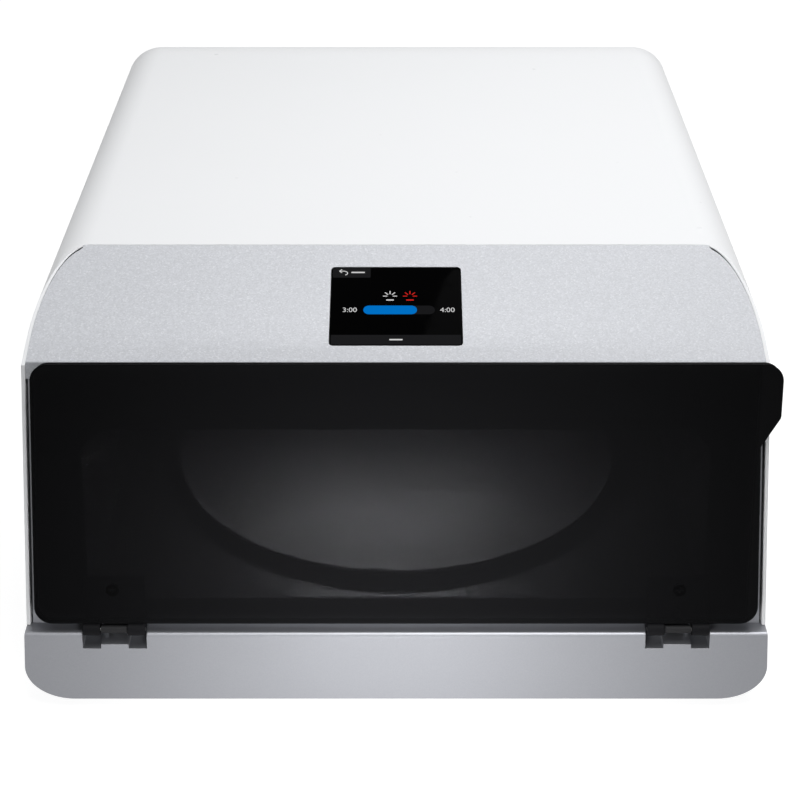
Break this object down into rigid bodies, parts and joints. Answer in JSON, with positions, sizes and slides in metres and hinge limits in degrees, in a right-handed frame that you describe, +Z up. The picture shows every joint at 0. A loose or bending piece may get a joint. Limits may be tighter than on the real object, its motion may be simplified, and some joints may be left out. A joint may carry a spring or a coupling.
{
  "type": "dental lab light curing unit",
  "caption": "Bench-top light curing box with a sloping console, a drop-down see-through door, a lamp chamber with a turntable, and fans, inlet and switch at the back.",
  "frame": {"origin": "middle of the rubber feet's resting plane, under the centre of the unit's box", "axes": "+X to the picture's right, +Y to the back, +Z up"},
  "size_m": [0.4158, 0.4866, 0.2244],
  "materials": {
    "white_paint": "glossy white powder paint",
    "console_paint": "light grey, finely speckled paint",
    "base_paint": "satin grey metallic paint",
    "frame_paint": "satin grey paint",
    "rear_paint": "satin grey paint",
    "black_glass": "black cover glass over a display",
    "door_acrylic": "dark see-through acrylic",
    "black_plastic": "black plastic",
    "dark_plastic": "dark grey plastic",
    "black_steel": "blackened steel",
    "bright_steel": "bright zinc",
    "bright_sheet": "bright reflecting aluminium",
    "plate_steel": "brushed stainless steel",
    "sink_aluminium": "extruded aluminium",
    "supply_steel": "galvanised steel",
    "bronze": "sintered bronze",
    "lamp_glass": "clear glass",
    "board_green": "green circuit board",
    "board_white": "white metal-core circuit board",
    "emitter": "yellow lens over a light emitter",
    "component": "black component bodies",
    "rubber": "black rubber"
  },
  "bodies": {
    "casing": {"upper_cover": "white_paint", "console_panel": "console_paint", "display_glass": "black_glass", "display_module": "dark_plastic", "display_board": "board_green", "display_studs": "bright_steel", "front_frame": "frame_paint", "lintel_screws": "bright_steel", "door_sensor": "black_plastic", "left_hinge_bracket": "base_paint", "right_hinge_bracket": "base_paint", "hinge_pins": "bright_steel", "bracket_screws": "black_steel", "base_tray": "base_paint", "rubber_feet": "rubber", "foot_screws": "bright_steel", "cover_screws": "bright_steel", "chamber_liner": "bright_sheet", "chamber_legs": "bright_sheet", "leg_screws": "bright_steel", "lamp_frames": "dark_plastic", "top_lamp_window": "lamp_glass", "left_lamp_window": "lamp_glass", "right_lamp_window": "lamp_glass", "lamp_boards": "board_white", "light_emitters": "emitter", "top_heat_sink": "sink_aluminium", "left_heat_sink": "sink_aluminium", "right_heat_sink": "sink_aluminium", "shaft_bush": "bronze", "gear_motor": "supply_steel", "motor_plate": "bright_sheet", "motor_screws": "bright_steel", "power_supply": "supply_steel", "supply_screws": "bright_steel", "main_board": "board_green", "board_parts": "component", "board_standoffs": "bright_steel", "board_screws": "bright_steel", "rear_panel": "rear_paint", "rear_screws": "bright_steel", "left_fan_frame": "black_plastic", "right_fan_frame": "black_plastic", "left_fan_guard": "bright_steel", "right_fan_guard": "bright_steel", "fan_screws": "bright_steel", "mains_inlet": "black_plastic", "switch_housing": "black_plastic"},
    "door": {"door_panel": "door_acrylic", "left_door_leaf": "black_plastic", "right_door_leaf": "black_plastic", "leaf_screws": "black_steel", "sensor_magnet": "bright_steel"},
    "turntable": {"turntable_plate": "plate_steel", "turntable_hub": "bright_sheet", "drive_shaft": "bright_steel"},
    "left_fan": {"left_fan_impeller": "black_plastic"},
    "right_fan": {"right_fan_impeller": "black_plastic"},
    "rocker": {"power_rocker": "black_plastic"}
  },
  "joints": [
    {"name": "door_hinge", "type": "hinge", "parent": "casing", "child": "door", "pos_m": [0, -0.23308, 0.0469], "axis": [1, 0, 0], "range_deg": [0, 102]},
    {"name": "turntable_spin", "type": "hinge", "parent": "casing", "child": "turntable", "pos_m": [0, -0.07008, 0.062], "axis": [0, 0, 1], "continuous": true},
    {"name": "left_fan_spin", "type": "hinge", "parent": "casing", "child": "left_fan", "pos_m": [-0.095, 0.22451, 0.128], "axis": [0, 1, 0], "continuous": true},
    {"name": "right_fan_spin", "type": "hinge", "parent": "casing", "child": "right_fan", "pos_m": [0.095, 0.22451, 0.128], "axis": [0, 1, 0], "continuous": true},
    {"name": "power_rock", "type": "hinge", "parent": "casing", "child": "rocker", "pos_m": [-0.092, 0.23451, 0.04], "axis": [1, 0, 0], "range_deg": [0, 20]}
  ]
}
